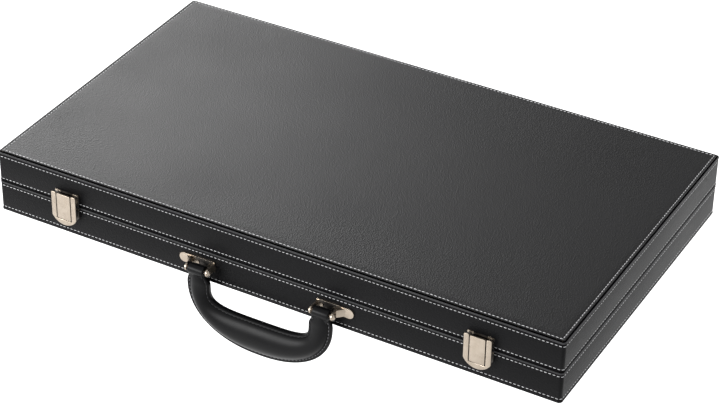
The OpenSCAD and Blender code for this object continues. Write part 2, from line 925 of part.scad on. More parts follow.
// One ring of the grip: a full oval between the two edges
function grip_ring(st) =
    let (mid = (st[0] + st[1]) / 2, half = (st[1] - st[0]) / 2)
    [for (j = [0 : GRIP_SIDES - 1])
        let (a = 360 * j / GRIP_SIDES)
        let (p = sign(cos(a)) * pow(abs(cos(a)), OVAL_POWER))
        let (q = sign(sin(a)) * pow(abs(sin(a)), OVAL_POWER))
        [mid[0] + p * half[0], q * st[2], mid[1] + p * half[1]]];

// One ring of the core, in the middle of the grip
function core_ring(st) =
    let (mid = (st[0] + st[1]) / 2, along = unit(st[1] - st[0]))
    [for (j = [0 : GRIP_SIDES - 1])
        let (a = 360 * j / GRIP_SIDES)
        [mid[0] + core_r * cos(a) * along[0], core_r * sin(a), mid[1] + core_r * cos(a) * along[1]]];

grip_points = [for (st = stations) each grip_ring(st)];
core_points = [for (st = stations) each core_ring(st)];

function flipped(faces) = [for (f = faces) [f[0], f[2], f[1]]];

// Flat rings that close the grip round the core at the two loops
function grip_ends(rings, sides) =
    let (inner = rings * sides, last = (rings - 1) * sides)
    [for (j = [0 : sides - 1])
        let (k = (j + 1) % sides)
        each [
            [j, inner + j, k],
            [k, inner + j, inner + k],
            [last + j, last + k, inner + last + j],
            [last + k, inner + last + k, inner + last + j]
        ]];

module handle_core() {
    rings = len(stations);
    color("gray") translate([0, handle_y, handle_pin_z])
        polyhedron(core_points, concat(skin_faces(rings, GRIP_SIDES), cap_faces(rings, GRIP_SIDES)));
}

module handle_grip() {
    rings = len(stations);
    faces = concat(
        skin_faces(rings, GRIP_SIDES),
        flipped(skin_faces(rings, GRIP_SIDES, rings * GRIP_SIDES)),
        grip_ends(rings, GRIP_SIDES)
    );
    color("black") translate([0, handle_y, handle_pin_z])
        polyhedron(concat(grip_points, core_points), faces);
}

// Playing pieces, put away in the base's trough

module checker() {
    rotate([0, 90, 0]) rotate_extrude() difference() {
        square([checker_d / 2, checker_t]);
        for (z = [-over, checker_t - dish_t]) translate([0, z])
            square([checker_d / 2 - dish_rim, dish_t + over]);
    }
}

module checker_row(x0) {
    for (i = [0 : CHECKERS - 1])
        translate([x0 + i * (checker_t + checker_gap), trough_mid, trough_floor + checker_d / 2 + fit])
            checker();
}

module checkers_light() {
    color("ivory") checker_row(light_x);
}

module checkers_dark() {
    color("maroon") checker_row(dark_x);
}

// A cube with its corners turned off
module soft_cube(edge) {
    intersection() {
        cube(edge, center = true);
        sphere(edge * CORNER_CUT);
    }
}

module dice() {
    color("ivory") for (y = [-1, 1], z = [0, 1])
        translate([
            dice_x + die / 2,
            trough_mid + y * (die / 2 + fit),
            trough_floor + die / 2 + z * (die + fit)
        ]) soft_cube(die);
}

module doubling_cube() {
    color("white") translate([cube_x + cube_edge / 2, trough_mid, trough_floor + cube_edge / 2])
        soft_cube(cube_edge);
}

// A cup that lies along the trough with its mouth towards the dice
module dice_cup() {
    bore_r = cup_r - cup_lip - cup_wall;
    rotate([0, 90, 0]) rotate_extrude() difference() {
        union() {
            square([cup_r - cup_lip, cup_l]);
            translate([0, cup_l - cup_band]) square([cup_r, cup_band]);
            square([cup_r, cup_band]);
        }
        translate([0, cup_wall]) square([bore_r, cup_l]);
    }
}

module dice_cup_left() {
    color("black") translate([cup_left_x, trough_mid, trough_floor + cup_r + fit]) dice_cup();
}

module dice_cup_right() {
    color("black") translate([cup_right_x + cup_l, trough_mid, trough_floor + cup_r + fit])
        mirror([1, 0, 0]) dice_cup();
}

base_pad();
base_board();
base_rail_front();
base_rail_back();
base_rail_left();
base_rail_right();
base_side_cover();
base_field();
base_points_light();
base_points_dark();
base_trough_lining();
base_divider();
lid_pad();
lid_board();
lid_rail_front();
lid_rail_back();
lid_rail_left();
lid_rail_right();
lid_side_cover();
lid_field();
lid_points_light();
lid_points_dark();
lid_trough_lining();
lid_divider();
hinge_base_leaf(-1);  // hinge_base_leaf_left
hinge_base_leaf(1);  // hinge_base_leaf_right
hinge_lid_leaf(-1);  // hinge_lid_leaf_left
hinge_lid_leaf(1);  // hinge_lid_leaf_right
hinge_pins();
hinge_base_screws();
hinge_lid_screws();
latch_plate(-1);  // latch_plate_left
latch_plate(1);  // latch_plate_right
latch_cover(-1);  // latch_cover_left
latch_cover(1);  // latch_cover_right
latch_tongue(-1);  // latch_tongue_left
latch_tongue(1);  // latch_tongue_right
latch_pins();
latch_springs();
latch_strike(-1);  // latch_strike_left
latch_strike(1);  // latch_strike_right
latch_plate_rivets();
latch_strike_rivets();
handle_bracket(-1);  // handle_bracket_left
handle_bracket(1);  // handle_bracket_right
handle_bracket_rivets();
handle_pins();
handle_loop(-1);  // handle_loop_left
handle_loop(1);  // handle_loop_right
handle_core();
handle_grip();
checkers_light();
checkers_dark();
dice();
doubling_cube();
dice_cup_left();
dice_cup_right();
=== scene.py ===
import json
import math
import random

import bmesh
import bpy
from mathutils import Matrix, Vector


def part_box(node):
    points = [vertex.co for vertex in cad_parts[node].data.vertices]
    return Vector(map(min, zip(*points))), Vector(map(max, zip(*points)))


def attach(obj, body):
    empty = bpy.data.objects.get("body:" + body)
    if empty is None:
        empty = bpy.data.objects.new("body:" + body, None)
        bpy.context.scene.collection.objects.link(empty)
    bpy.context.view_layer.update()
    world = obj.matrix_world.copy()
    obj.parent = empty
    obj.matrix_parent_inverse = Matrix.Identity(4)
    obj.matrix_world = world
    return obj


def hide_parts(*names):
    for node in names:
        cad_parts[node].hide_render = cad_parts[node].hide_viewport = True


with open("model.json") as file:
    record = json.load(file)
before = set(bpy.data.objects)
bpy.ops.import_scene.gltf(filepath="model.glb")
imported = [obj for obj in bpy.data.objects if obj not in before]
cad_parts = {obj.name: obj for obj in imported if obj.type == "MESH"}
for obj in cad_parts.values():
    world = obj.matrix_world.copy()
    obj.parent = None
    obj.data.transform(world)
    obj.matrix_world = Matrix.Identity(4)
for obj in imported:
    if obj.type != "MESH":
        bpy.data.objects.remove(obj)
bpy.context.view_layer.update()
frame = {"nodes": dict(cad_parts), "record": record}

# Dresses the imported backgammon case: stitched leatherette over the wooden halves, bevelled nickel parts,
# a padded leather handle, and the board and playing pieces inside. Sizes are millimetres in the CAD frame.

MM = 0.001
scene = bpy.context.scene
BODY_OF = {n: b for b, members in frame["record"]["behaviour"]["bodies"].items() for n in members}


def cad_box(node):
    """Lowest and highest corner of a CAD node, in millimetres."""
    lo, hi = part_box(node)
    return lo / MM, hi / MM


# Sizes read from the frame

cover_lo, cover_hi = cad_box("base_side_cover")
pad_hi = cad_box("base_pad")[1]
lid_pad_hi = cad_box("lid_pad")[1]
rail_hi = cad_box("base_rail_front")[1]
field_lo = cad_box("base_field")[0]
leaf_lo, leaf_hi = cad_box("hinge_base_leaf_right")
latch_lo, latch_hi = cad_box("latch_cover_right")
loop_lo, loop_hi = cad_box("handle_loop_right")
grip_lo, grip_hi = cad_box("handle_grip")

HALF_W, HALF_D = cover_hi.x, cover_hi.y
CASE_H = lid_pad_hi.z
SEAM_Z = CASE_H / 2
RIM_Z = cover_hi.z
CORNER_R = 3.0
WALL_INSET = 0.3
PAD_T = pad_hi.z
PANEL_INSET = {"base": HALF_W - pad_hi.x, "lid": 1.9}
PANEL_CORNER_R = {"base": 5.0, "lid": CORNER_R - PANEL_INSET["lid"]}
RIM_IN = HALF_D + rail_hi.y
FLOOR_Z = field_lo.z

# Sizes of the sewing and of the soft edges. Heights are measured from each half's own large face.

STITCH_PITCH = 3.12
STITCH_LENGTH = 2.25
STITCH_WIDTH = 0.54
STITCH_HEIGHT = 0.44
STITCH_SINK = 0.1
PANEL_STITCH_Z = 0.17

# Rows of stitches: distance from the panel's edge, height on the walls, least radius at a corner
PANEL_ROW = {"base": 3.4, "lid": 1.75}
EDGE_ROW = {"base": 4.1, "lid": 4.2}
SEAM_ROW = {"base": SEAM_Z - 3.2, "lid": SEAM_Z - 2.8}
ROW_CORNER_R = 0.8

# The panel's soft lip, how far its foot is cut back, and how far its back reaches in behind the row
LIP_R = {"base": 1.25, "lid": 0.55}
LIP_STEPS = 7
UNDERCUT = {"base": 0.05, "lid": 1.3}
PANEL_BACK = 4

# The welt round the large face, the crease beside it, the hem at the seam, and the rim and lining inside
WELT_R = {"base": 1.1, "lid": 0.62}
WELT_Z = {"base": cover_lo.z + WELT_R["base"], "lid": PAD_T}
WELT_STEPS = 14
CREASE = 0.75
CREASE_EDGE = 0.45
CREASE_W = 0.6
CREASE_FLOOR = 0.25
HEM_R = 0.7
HEM_STEPS = 10
RIM_R = 0.75
RIM_STEPS = 4
RIM_FLAT = RIM_IN - 0.5
LINING_FOOT = FLOOR_Z + 0.4
UNDERLAP = 1
CORNER_STEPS = 8

# The channel that a row of stitches pulls into a wall: depth, half width, and shares of both along it
DIP = 0.24
DIP_W = 0.6
DIP_SECTION = ((-1, 0), (-0.45, 0.3), (0, 1), (0.45, 0.3), (1, 0))

# The panel's sewn channel: distance inwards from the row of stitches, and depth below the face
PANEL_CHANNEL = ((13, 0), (6, 0), (1.6, 0.01), (0.8, 0.09), (0, 0.27), (-0.5, 0.12), (-1, 0.03))

# Overlap of soft layers, the least distance between faces, and how far in a face still shows outside
TUCK = 0.1
HAIR = 0.05
SKIN = 1.0

# Stitches vary a little: rings along one, its turn in degrees, and the range of its length and width
STITCH_RINGS = ((-0.36, 0.78), (0.0, 1.0), (0.36, 0.78))
STITCH_SIDES = 6
STITCH_SEED = 7
STITCH_TURN = 3.5
STITCH_LENGTHS = (0.93, 1.05)
STITCH_WIDTHS = (0.92, 1.06)

# Angles in degrees: edges to round, edges to shade sharp, and faces to take as flat
BEVEL_FROM = 28
BEVEL_SMOOTH = 35
STITCH_SMOOTH = 80
BAR_SMOOTH = 30
FLAT_WITHIN = 0.5

# Distances below which points are joined, thin faces dropped, and points taken to lie on a cut
JOIN = 0.002
THIN = 0.001
ON_CUT = 0.0001

# How far the edges of each hard piece are rounded
EDGE_ROUNDING = {
    "cover": 0.42, "bracket": 0.3, "tongue": 0.25, "plate": 0.15, "leaf": 0.15,
    "divider": 1.2, "checker": 0.7, "die": 0.5, "cube": 0.7, "cup": 0.5,
}


# Building meshes

def make_piece(name, verts, faces, material, body, smooth_angle=40):
    """A mesh piece, from millimetres, that rides on a body."""
    mesh = bpy.data.meshes.new(name)
    mesh.from_pydata([Vector(v) * MM for v in verts], [], faces)
    piece = bpy.data.objects.new(name, mesh)
    scene.collection.objects.link(piece)
    tidy_mesh(mesh, smooth_angle)
    mesh.materials.append(material)
    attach(piece, body)
    return piece


def tidy_mesh(mesh, smooth_angle):
    """Joins doubled points, turns all faces outwards and shades the round ones smooth."""
    work = bmesh.new()
    work.from_mesh(mesh)
    bmesh.ops.remove_doubles(work, verts=work.verts, dist=JOIN * MM)
    bmesh.ops.dissolve_degenerate(work, edges=work.edges, dist=THIN * MM)
    bmesh.ops.recalc_face_normals(work, faces=work.faces)
    work.to_mesh(mesh)
    work.free()
    mesh.polygons.foreach_set("use_smooth", [True] * len(mesh.polygons))
    mesh.set_sharp_from_angle(angle=math.radians(smooth_angle))


def bevelled(node, width, material, segments=2):
    """A copy of a CAD node with its sharp edges rounded, which stands for it."""
    mesh = frame["nodes"][node].data.copy()
    piece = bpy.data.objects.new(node + "_finished", mesh)
    scene.collection.objects.link(piece)
    work = bmesh.new()
    work.from_mesh(mesh)
    bmesh.ops.remove_doubles(work, verts=work.verts, dist=THIN * MM)
    bmesh.ops.dissolve_limit(
        work, angle_limit=math.radians(FLAT_WITHIN), verts=work.verts, edges=work.edges
    )
    sharp = [e for e in work.edges if e.is_manifold and e.calc_face_angle() > math.radians(BEVEL_FROM)]
    bmesh.ops.bevel(
        work, geom=sharp, offset=width * MM, segments=segments, profile=0.5, affect="EDGES",
        clamp_overlap=True,
    )
    work.to_mesh(mesh)
    work.free()
    mesh.materials.clear()
    mesh.materials.append(material)
    mesh.polygons.foreach_set("material_index", [0] * len(mesh.polygons))
    mesh.polygons.foreach_set("use_smooth", [True] * len(mesh.polygons))
    mesh.set_sharp_from_angle(angle=math.radians(BEVEL_SMOOTH))
    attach(piece, BODY_OF[node])
    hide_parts(node)
    return piece


def skin_between(rows, closed_rows, closed_columns=False):
    """Quads between neighbouring rows of points, as indices into the flattened rows."""
    count, size = len(rows), len(rows[0])
    faces = []
    for i in range(count if closed_columns else count - 1):
        for j in range(size if closed_rows else size - 1):
            a, b = i * size + j, i * size + (j + 1) % size
            c, d = (i + 1) % count * size + (j + 1) % size, (i + 1) % count * size + j
            faces.append((a, b, c, d))
    return faces


def end_caps(rows):
    """Faces that close the first and the last row of points."""
    size = len(rows[0])
    last = (len(rows) - 1) * size
    return [list(range(size)), list(range(last, last + size))]


def flat(rows):
    """The points of all rows, one row after another."""
    return [point for row in rows for point in row]


def gather(verts, faces, points, loops):
    """Adds the points and faces of one small form to those of a piece made of many."""
    first = len(verts)
    verts += points
    faces += [tuple(first + i for i in loop) for loop in loops]


def repaint(piece, material, chosen):
    """Gives the chosen faces of a piece one more material. The test gets a face's centre and normal."""
    piece.data.materials.append(material)
    index = len(piece.data.materials) - 1
    for face in piece.data.polygons:
        if chosen(face.center / MM, face.normal):
            face.material_index = index


def split(piece, point, across):
    """Cuts the faces of a piece along a plane."""
    work = bmesh.new()
    work.from_mesh(piece.data)
    geometry = work.verts[:] + work.edges[:] + work.faces[:]
    bmesh.ops.bisect_plane(work, geom=geometry, dist=ON_CUT * MM, plane_co=point * MM, plane_no=across)
    work.to_mesh(piece.data)
    work.free()


def inset_of(point):
    """How far a point lies inside the case's outline."""
    x, y = abs(point.x) - (HALF_W - CORNER_R), abs(point.y) - (HALF_D - CORNER_R)
    return CORNER_R - (math.hypot(x, y) if x > 0 and y > 0 else max(x, y))


# Stations round the outline: the corner's centre, the way out, the corner's signs, and if a bed is cut

def corner_stations(inset=0.0, r=CORNER_R):
    """Stations round the four corners of a rounded rectangle, with no bed cut."""
    stations = []
    for sx, sy, first in ((1, 1, 0), (-1, 1, 90), (-1, -1, 180), (1, -1, 270)):
        for i in range(CORNER_STEPS + 1):
            a = math.radians(first + 90 * i / CORNER_STEPS)
            centre = Vector((sx * (HALF_W - inset - r), sy * (HALF_D - inset - r)))
            stations.append((centre, Vector((math.cos(a), math.sin(a))), Vector((sx, sy)), False))
    return stations


def stations_with_hinge_beds():
    """The corner stations, with pairs of stations at the ends of each hinge along the back."""
    stations = corner_stations()
    back = CORNER_STEPS + 1
    beds = []
    for s in (1, -1):
        near, far = (leaf_hi.x, leaf_lo.x) if s > 0 else (-leaf_lo.x, -leaf_hi.x)
        for x, cut in ((near, False), (near, True), (far, True), (far, False)):
            beds.append((Vector((x, HALF_D - CORNER_R)), Vector((0, 1)), Vector((0, 0)), cut))
    return stations[:back] + beds + stations[back:]


def place(station, inset, r=CORNER_R):
    """The point at some inset from the outline, with square corners where the inset is past the corner."""
    centre, way, corner, _ = station
    if inset > r and corner.length > 0:
        return centre + corner * (r - inset)
    return centre + way * (r - inset)


def half_z(z, lid):
    """A height in the base, or its mirror image in the lid."""
    return CASE_H - z if lid else z


def arc(centre, radius, first, last, steps):
    """Points on an arc in the (inset, z) plane; 0 degrees points inwards, 90 up."""
    angles = [math.radians(first + (last - first) * i / steps) for i in range(steps + 1)]
    return [(centre[0] + radius * math.cos(a), centre[1] + radius * math.sin(a)) for a in angles]


def dip(z):
    """Points of the shallow channel that a row of stitches pulls into the wall."""
    return [(WALL_INSET + sunk * DIP, z + rise * DIP_W) for rise, sunk in DIP_SECTION]


# The leatherette shell

def side_cover(lid):
    """The cover of one half's sides: welt, wall with two sewn channels, hem, rim and inner lining."""
    half = "lid" if lid else "base"
    welt_r, welt_z = WELT_R[half], WELT_Z[half]
    welt_end, hem_z = welt_z + welt_r, RIM_Z - HEM_R - HAIR
    bed = HALF_D - leaf_lo.y
    profile = [(PANEL_INSET[half] + UNDERLAP, PAD_T - TUCK), (2 * welt_r - HAIR, PAD_T - TUCK)]
    profile += arc((welt_r, welt_z), welt_r, -12, -225, WELT_STEPS)
    profile += [(CREASE, welt_end + CREASE_FLOOR), (CREASE_EDGE, welt_end + CREASE_W)]
    profile += dip(EDGE_ROW[half])
    profile += dip(SEAM_ROW[half])
    profile += [(CREASE_EDGE, hem_z - HEM_R - CREASE_W / 2), (CREASE, hem_z - HEM_R)]
    profile += arc((HEM_R + HAIR, hem_z), HEM_R, 225, 90, HEM_STEPS)
    profile += [(bed - HAIR, RIM_Z), (bed + HAIR, RIM_Z), (RIM_FLAT, RIM_Z)]
    profile += arc((RIM_FLAT, RIM_Z - RIM_R), RIM_R, 90, 0, RIM_STEPS)
    profile += [(RIM_FLAT + RIM_R, LINING_FOOT), (RIM_IN - UNDERLAP, LINING_FOOT)]
    rows = []
    for station in stations_with_hinge_beds():
        row = []
        for inset, z in profile:
            p = place(station, inset)
            sunk = station[3] and inset < bed and z > leaf_lo.z
            row.append((p.x, p.y, half_z(min(z, leaf_lo.z) if sunk else z, lid)))
        rows.append(row)
    faces = skin_between(rows, closed_rows=True, closed_columns=True)
    piece = make_piece(half + "_leatherette", flat(rows), faces, LEATHERETTE, half)
    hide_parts(half + "_side_cover")
    groove = 1.25 * welt_r
    crease_from, crease_to = welt_z + 0.6 * welt_r, welt_end + CREASE_W
    hem_from = hem_z - 0.6 * HEM_R
    hem_crease = hem_from - 0.4 * HEM_R - 0.35

    def in_fold(c, _):
        """The groove round the panel, the crease beside the lid's welt, and the shaded part of the seam,
        all painted black as shade.
        """
        depth, inset = half_z(c.z, lid), inset_of(c)
        in_groove = depth < PAD_T + 0.2 and inset > groove
        in_crease = lid and crease_from < depth < crease_to and inset < SKIN
        in_gap = hem_from < depth < RIM_Z - 0.1 if lid else hem_crease < depth < hem_from
        return in_groove or in_crease or in_gap and inset < SKIN

    def rubbed(c, _):
        """The lid's welt and the base's hem, the edges that face up, painted paler grey as a highlight."""
        depth, inset = half_z(c.z, lid), inset_of(c)
        if lid:
            return depth < crease_from and inset < groove
        return hem_from < depth < RIM_Z - 0.02 and inset < SKIN

    # The groove, the lid's crease and the seam's gap are painted matt black as shade.
    repaint(piece, PAINTED_SHADE_BLACK, in_fold)
    # The lid's welt and the base's hem, which face up, are painted paler as a highlight.
    repaint(piece, PAINTED_HIGHLIGHT_LEATHERETTE, rubbed)


def outer_panel(lid):
    """The padded panel of one half's large face, with a sewn channel near its edge and a soft lip."""
    half = "lid" if lid else "base"
    row, r, edge_r = PANEL_ROW[half], PANEL_CORNER_R[half], LIP_R[half]
    profile = [(row + run, sunk) for run, sunk in PANEL_CHANNEL]
    profile += arc((edge_r, edge_r), edge_r, 270, 170, LIP_STEPS)
    profile += [(UNDERCUT[half], PAD_T - TUCK), (UNDERCUT[half] + TUCK, PAD_T), (PANEL_BACK + row, PAD_T)]
    stations = corner_stations(PANEL_INSET[half], r)
    rows = [[(*place(s, i, r), half_z(z, lid)) for i, z in profile] for s in stations]
    faces = skin_between(rows, closed_rows=False, closed_columns=True)
    size = len(profile)
    corners = range(0, len(rows) * size, (CORNER_STEPS + 1) * size)
    faces.append(list(corners))
    faces.append([c + size - 1 for c in corners])
    piece = make_piece(half + "_padded_panel", flat(rows), faces, LEATHERETTE, half)
    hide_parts(half + "_pad")

    def in_fold(c, _):
        """The panel's edge below its lip, painted matt black as shade."""
        return half_z(c.z, lid) > 0.8 * edge_r and inset_of(c) < PANEL_INSET[half] + row

    # The edge under the lip is painted black as shade.
    repaint(piece, PAINTED_SHADE_BLACK, in_fold)


# Sewing

def capsule(centre, along, out, length, width, height):
    """Points and faces of one stitch: a short round-ended thread that lies on the leather."""
    across = along.cross(out).normalized()
    rings, sides = [], STITCH_SIDES
    for t, r in STITCH_RINGS:
        ring = []
        for j in range(sides):
            a = 2 * math.pi * j / sides
            offset = across * (math.cos(a) * r * width / 2) + out * (math.sin(a) * r * height / 2)
            ring.append(centre + along * (t * length) + offset)
        rings.append(ring)
    verts = flat(rings)
    faces = skin_between(rings, closed_rows=True)
    last = (len(rings) - 1) * sides
    reach, sink = along * (length / 2), out * (height / 4)
    verts += [centre - reach - sink, centre + reach - sink]
    faces += [(len(verts) - 2, (j + 1) % sides, j) for j in range(sides)]
    faces += [(len(verts) - 1, last + j, last + (j + 1) % sides) for j in range(sides)]
    return verts, faces


def sew(name, places, material, body, size=(STITCH_LENGTH, STITCH_WIDTH, STITCH_HEIGHT)):
    """One piece of all the stitches in a row. Each place is a centre, a direction and the way out."""
    rng = random.Random(STITCH_SEED)
    length, width, height = size
    verts, faces = [], []
    for centre, along, out in places:
        turn = Matrix.Rotation(math.radians(rng.uniform(-STITCH_TURN, STITCH_TURN)), 3, out)
        long = length * rng.uniform(*STITCH_LENGTHS)
        wide = width * rng.uniform(*STITCH_WIDTHS)
        gather(verts, faces, *capsule(centre, turn @ along, out, long, wide, height))
    make_piece(name, verts, faces, material, body, STITCH_SMOOTH)


def along_outline(inset, corner_r):
    """Centre, direction and way out of each stitch round a rounded rectangle, at an even pitch."""
    w, d, r = HALF_W - inset, HALF_D - inset, corner_r
    runs = [
        ("line", Vector((w, -(d - r))), Vector((0, 1)), 2 * (d - r)),
        ("arc", Vector((w - r, d - r)), 0, r * math.pi / 2),
        ("line", Vector((w - r, d)), Vector((-1, 0)), 2 * (w - r)),
        ("arc", Vector((-(w - r), d - r)), 90, r * math.pi / 2),
        ("line", Vector((-w, d - r)), Vector((0, -1)), 2 * (d - r)),
        ("arc", Vector((-(w - r), -(d - r))), 180, r * math.pi / 2),
        ("line", Vector((-(w - r), -d)), Vector((1, 0)), 2 * (w - r)),
        ("arc", Vector((w - r, -(d - r))), 270, r * math.pi / 2),
    ]
    total = sum(run[3] for run in runs)
    count = round(total / STITCH_PITCH)
    places, start, k = [], 0.0, 0
    for kind, origin, way, length in runs:
        while k < count and (k + 0.5) * total / count < start + length:
            s = (k + 0.5) * total / count - start
            if kind == "line":
                point, along = origin + way * s, way
            else:
                a = math.radians(way) + s / r
                point = origin + Vector((math.cos(a), math.sin(a))) * r
                along = Vector((-math.sin(a), math.cos(a)))
            places.append((point, along))
            k += 1
        start += length
    return places


def behind_latch(point):
    """True where a latch lies over the sewing."""
    half_w = (latch_hi.x - latch_lo.x) / 2
    return point.y < 0 and abs(abs(point.x) - (latch_lo.x + latch_hi.x) / 2) < half_w


def side_rows(lid):
    """The two rows of stitches round the sides of one half."""
    half = "lid" if lid else "base"
    for label, z in (("edge", EDGE_ROW[half]), ("seam", SEAM_ROW[half])):
        inset = WALL_INSET + DIP - STITCH_SINK
        places = []
        for p, along in along_outline(inset, CORNER_R - inset):
            if label == "seam" and behind_latch(p):
                continue
            out = Vector((along.y, -along.x, 0))
            places.append((Vector((p.x, p.y, half_z(z, lid))), Vector((along.x, along.y, 0)), out))
        sew(f"{half}_{label}_stitches", places, THREAD, half)


def panel_row(lid):
    """The row of stitches round one half's padded panel."""
    half = "lid" if lid else "base"
    z = half_z(PANEL_STITCH_Z, lid)
    out = Vector((0, 0, 1 if lid else -1))
    inset = PANEL_INSET[half] + PANEL_ROW[half]
    corner_r = max(ROW_CORNER_R, PANEL_CORNER_R[half] - PANEL_ROW[half])
    places = []
    for p, along in along_outline(inset, corner_r):
        places.append((Vector((p.x, p.y, z)), Vector((along.x, along.y, 0)), out))
    sew(f"{half}_panel_stitches", places, THREAD, half)


# The handle. Drops are measured down from its two pins, and the powers shape its curves.

PIN = Vector((0, (loop_lo.y + loop_hi.y) / 2, loop_hi.z - (loop_hi.y - loop_lo.y) / 2))
LOOP_W = loop_hi.x - loop_lo.x
LOOP_R = (loop_hi.y - loop_lo.y) / 2
LOOP_X = (loop_lo.x + loop_hi.x) / 2
STRAP_T = 4.8
STRAP_DROP = 1.2
STRAP_CLEAR = 0.2
EAR_DROP = 3.6
ARM_T = 8.0
ARM_W = 16.8
ARM_DROP = 11.0
ARM_SWELL = 1.8
GRIP_T = grip_hi.y - grip_lo.y
GRIP_DROP = PIN.z - grip_lo.z
HAND_HOLE = 15.6
HOLE_POWER = 4.0
EDGE_POWER = 2.2
SWELL_POWER = 0.8
PAD_POWER = 0.75
SHOULDER_STEPS = 12
GRIP_STEPS = 96
SECTION_STEPS = 9
HANDLE_SMOOTH = 60

# The sewn lips along the handle's edges, and the steps across them
LIP_SHARE = 0.155
LIP_MOST = {"inner": 2.0, "outer": 3.0}
LIP_T = {"inner": 2.6, "outer": 1.5}
LIP_T_SHARE = 0.6
LIP_CREASE = {"inner": 0.12, "outer": 0.25}
LIP_FLAT = 0.6
ON_LIP = (0, 0.12, 0.4, 0.75)
LIP_SHARES = (0.6, 0.85)
PAST_LIP = (0, 0.12, 0.4, 0.9, 1.7, 2.7)

# The handle's stitches: size of one, where on the lip and how far along they start, and steps of their path
HANDLE_STITCH = (2.1, 0.5, 0.4)
SEWN_AT = 0.8
STITCH_START = 1.5
SEAM_STEPS = 240

# The rolled loops: rounding of their ends, and angles round one in degrees
LOOP_EDGE_R = 0.8
LOOP_EDGE_STEPS = 4
LOOP_TURN = range(-52, 233, 8)

# One side of the neck under a loop: distance from its middle, height from the pin, share of the width
NECK = ((2.5, -4.3, 0.95), (2.4, -5.4, 0.85), (2.2, -7.0, 0.7))


def hang(t, reach, depth, power):
    """A point on a superellipse that hangs from the arms' shoulders, as (x, z) from the pins."""
    c, s = math.cos(t), math.sin(t)
    return Vector((
        -reach * math.copysign(abs(c) ** (2 / power), c),
        -ARM_DROP - depth * max(s, 0.0) ** (2 / power),
    ))


def handle_stations(steps):
    """Inner edge, outer edge and half thickness of the handle, from the left loop to the right one."""
    inner_reach, outer_reach = LOOP_X - ARM_W / 2 - ARM_SWELL, LOOP_X + ARM_W / 2
    top_reach = LOOP_W / 2 - STRAP_CLEAR
    stations = []
    for k in range(SHOULDER_STEPS):
        drop = STRAP_DROP + (ARM_DROP - STRAP_DROP) * k / SHOULDER_STEPS
        widen = math.sin(max(0.0, drop - EAR_DROP) / (ARM_DROP - EAR_DROP) * math.pi / 2)
        thick = (STRAP_T + (ARM_T - STRAP_T) * math.sin(k / SHOULDER_STEPS * math.pi / 2)) / 2
        inner = LOOP_X - top_reach + (inner_reach - LOOP_X + top_reach) * widen
        outer = LOOP_X + top_reach + (outer_reach - LOOP_X - top_reach) * widen
        stations.append((Vector((-inner, -drop)), Vector((-outer, -drop)), thick))
    for i in range(steps + 1):
        t = math.pi * i / steps
        thick = (ARM_T + (GRIP_T - ARM_T) * max(math.sin(t), 0.0) ** SWELL_POWER) / 2
        inner = hang(t, inner_reach, HAND_HOLE, HOLE_POWER)
        stations.append((inner, hang(t, outer_reach, GRIP_DROP - ARM_DROP, EDGE_POWER), thick))
    shoulder = stations[:SHOULDER_STEPS]
    return stations + [(Vector((-a.x, a.y)), Vector((-b.x, b.y)), t) for a, b, t in reversed(shoulder)]


def lip_width(width, edge):
    """Width of the sewn lip at the inner or outer edge of the handle."""
    return min(LIP_MOST[edge], LIP_SHARE * width)


def grip_half_thickness(d, width, thick, edge):
    """Half thickness of the padded handle at distance d from its inner or outer sewn edge."""
    lip, lip_t = lip_width(width, edge), min(LIP_T[edge], LIP_T_SHARE * thick)
    low = lip_t - LIP_CREASE[edge]
    if d < lip_t / 2:
        return lip_t * math.sqrt(max(0.0, 1 - (1 - 2 * d / lip_t) ** 2))
    if d < lip:
        return lip_t + (low - lip_t) * max(0.0, d - LIP_FLAT * lip) / ((1 - LIP_FLAT) * lip)
    s = (width / 2 - d) / (width / 2 - lip)
    return low + (thick - low) * max(0.0, 1 - s * s) ** PAD_POWER


def handle_section(station, fractions):
    """One ring of the grip: down its front face and up its back."""
    inner, outer, thick = station
    width = (outer - inner).length
    front, back = [], []
    for u in fractions:
        d = min(u, 1 - u) * width
        point = inner.lerp(outer, u)
        h = grip_half_thickness(d, width, thick, "inner" if u < 0.5 else "outer")
        front.append((point.x, PIN.y - h, PIN.z + point.y))
        back.append((point.x, PIN.y + h, PIN.z + point.y))
    return front + back[-2:0:-1]


def section_fractions(width):
    """Fractions across the handle, closest together at the sewn edges."""
    ends = []
    for edge in ("inner", "outer"):
        lip = lip_width(width, edge)
        steps = [*ON_LIP, *(share * lip for share in LIP_SHARES), *(lip + d for d in PAST_LIP)]
        ends.append(sorted(d / width for d in steps))
    left, right = ends[0], [1 - f for f in reversed(ends[1])]
    span = right[0] - left[-1]
    middle = [left[-1] + span * i / SECTION_STEPS for i in range(1, SECTION_STEPS)]
    return left + middle + right


def handle_piece(name, rows):
    """A closed piece of handle leather, skinned over rings of points."""
    faces = skin_between(rows, closed_rows=True) + end_caps(rows)
    return make_piece(name, flat(rows), faces, HANDLE_LEATHER, "handle", HANDLE_SMOOTH)


def padded_grip():
    """The padded grip and its two arms, lofted through rings along the handle."""
    rows = []
    for station in handle_stations(GRIP_STEPS):
        width = (station[1] - station[0]).length
        rows.append(handle_section(station, section_fractions(width)))
    piece = handle_piece("handle_padded_grip", rows)
    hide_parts("handle_grip", "handle_core")


